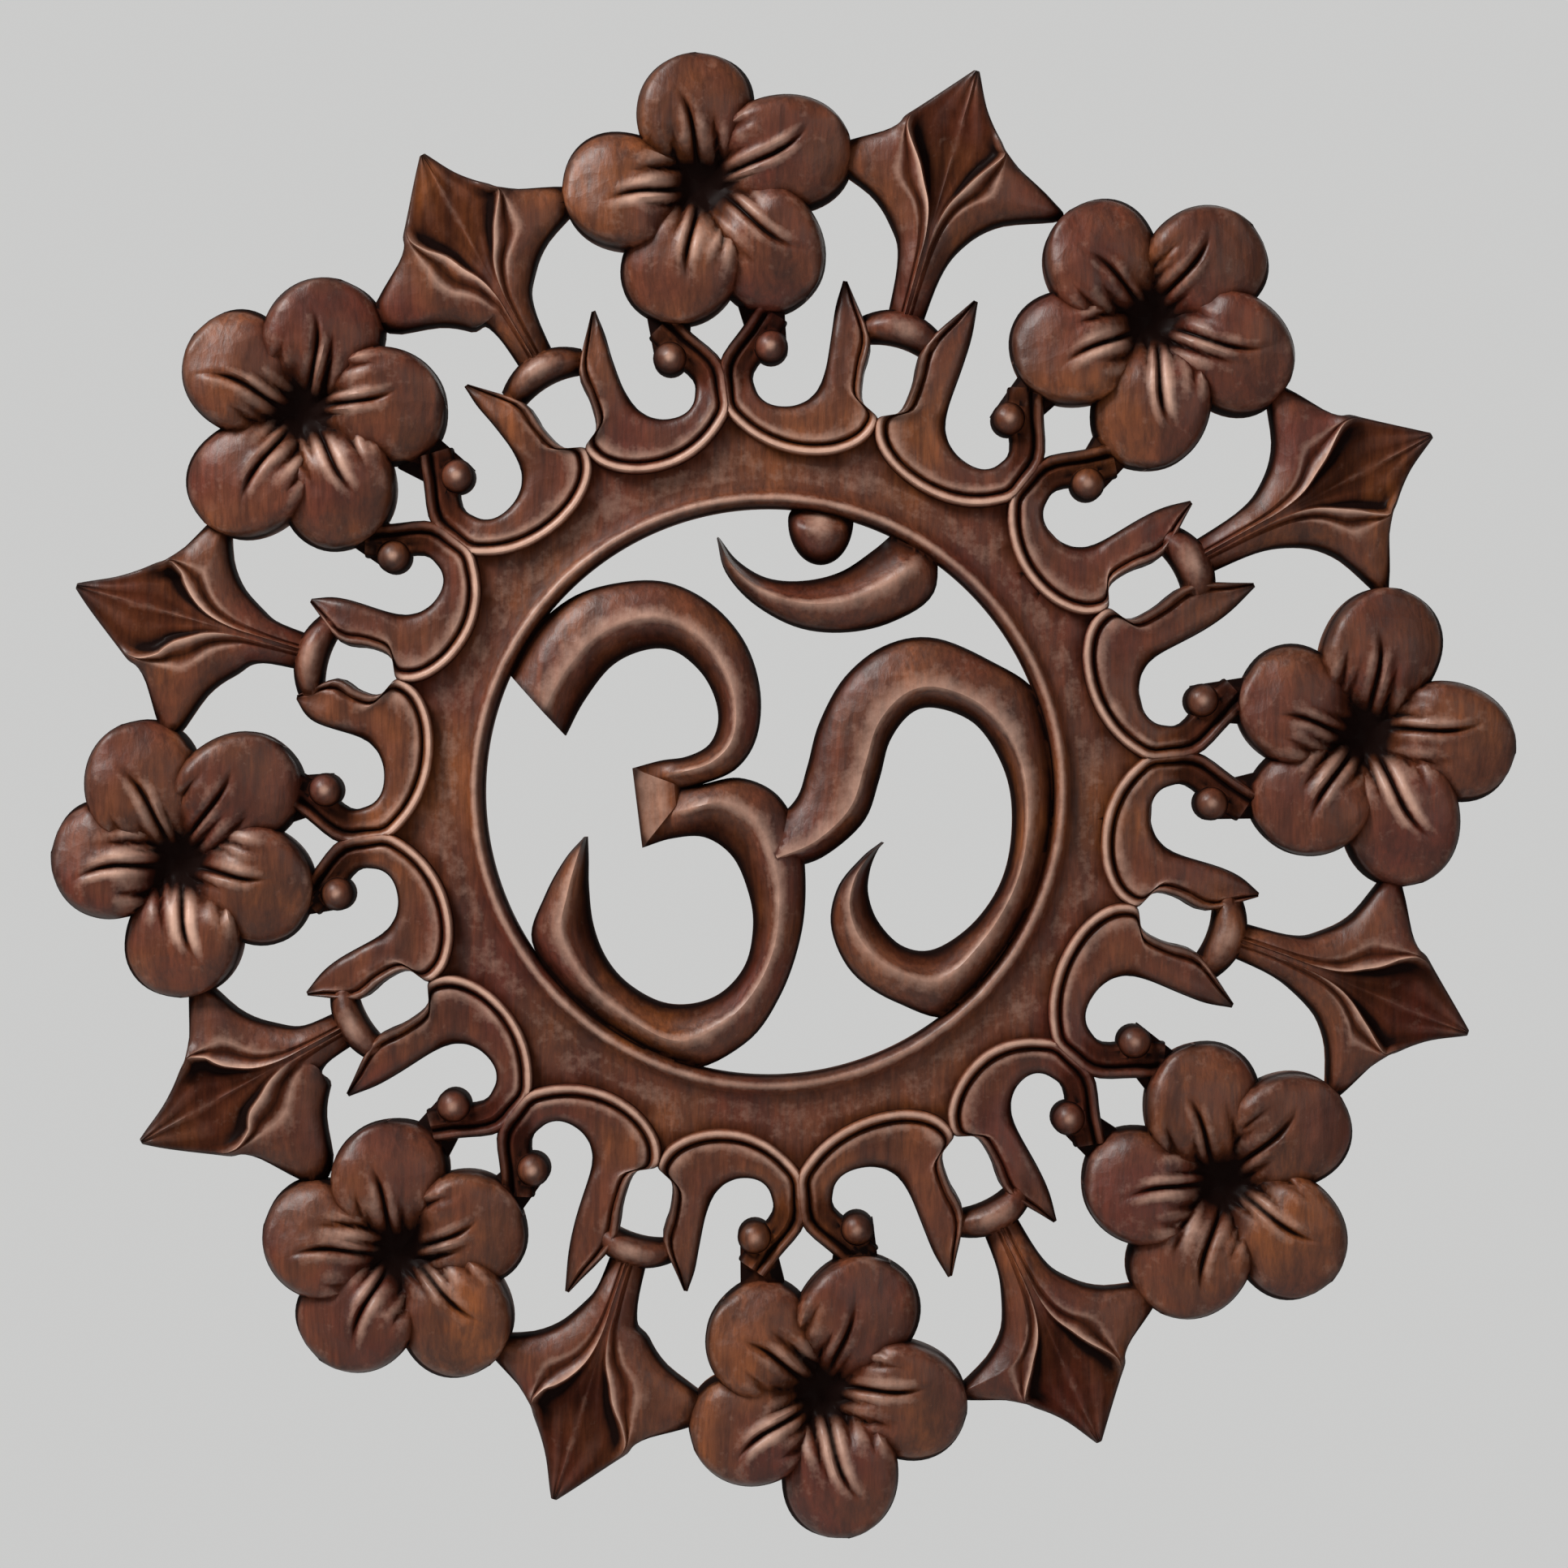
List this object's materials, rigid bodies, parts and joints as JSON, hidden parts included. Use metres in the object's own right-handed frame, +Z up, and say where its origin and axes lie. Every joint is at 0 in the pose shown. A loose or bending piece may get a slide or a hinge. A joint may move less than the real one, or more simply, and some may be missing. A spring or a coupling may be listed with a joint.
{
  "type": "carved wall panel",
  "caption": "Round pierced wooden wall panel: an Om symbol in a plain ring, set in scrolls, pointed leaves and five-petalled flowers.",
  "frame": {"origin": "on the panel's flat back, at the top of the ring's plain band, straight above the panel's centre, where it is fixed to the wall", "axes": "+Y out of the back into the wall, carved face towards -Y, +Z up, +X to the right as the panel is seen from the front"},
  "size_m": [0.3968, 0.0204, 0.4027],
  "materials": {
    "stained_wood": "satin, reddish-brown stain, worn paler on raised edges"
  },
  "bodies": {
    "root": {"carved_panel": "stained_wood"}
  },
  "joints": []
}
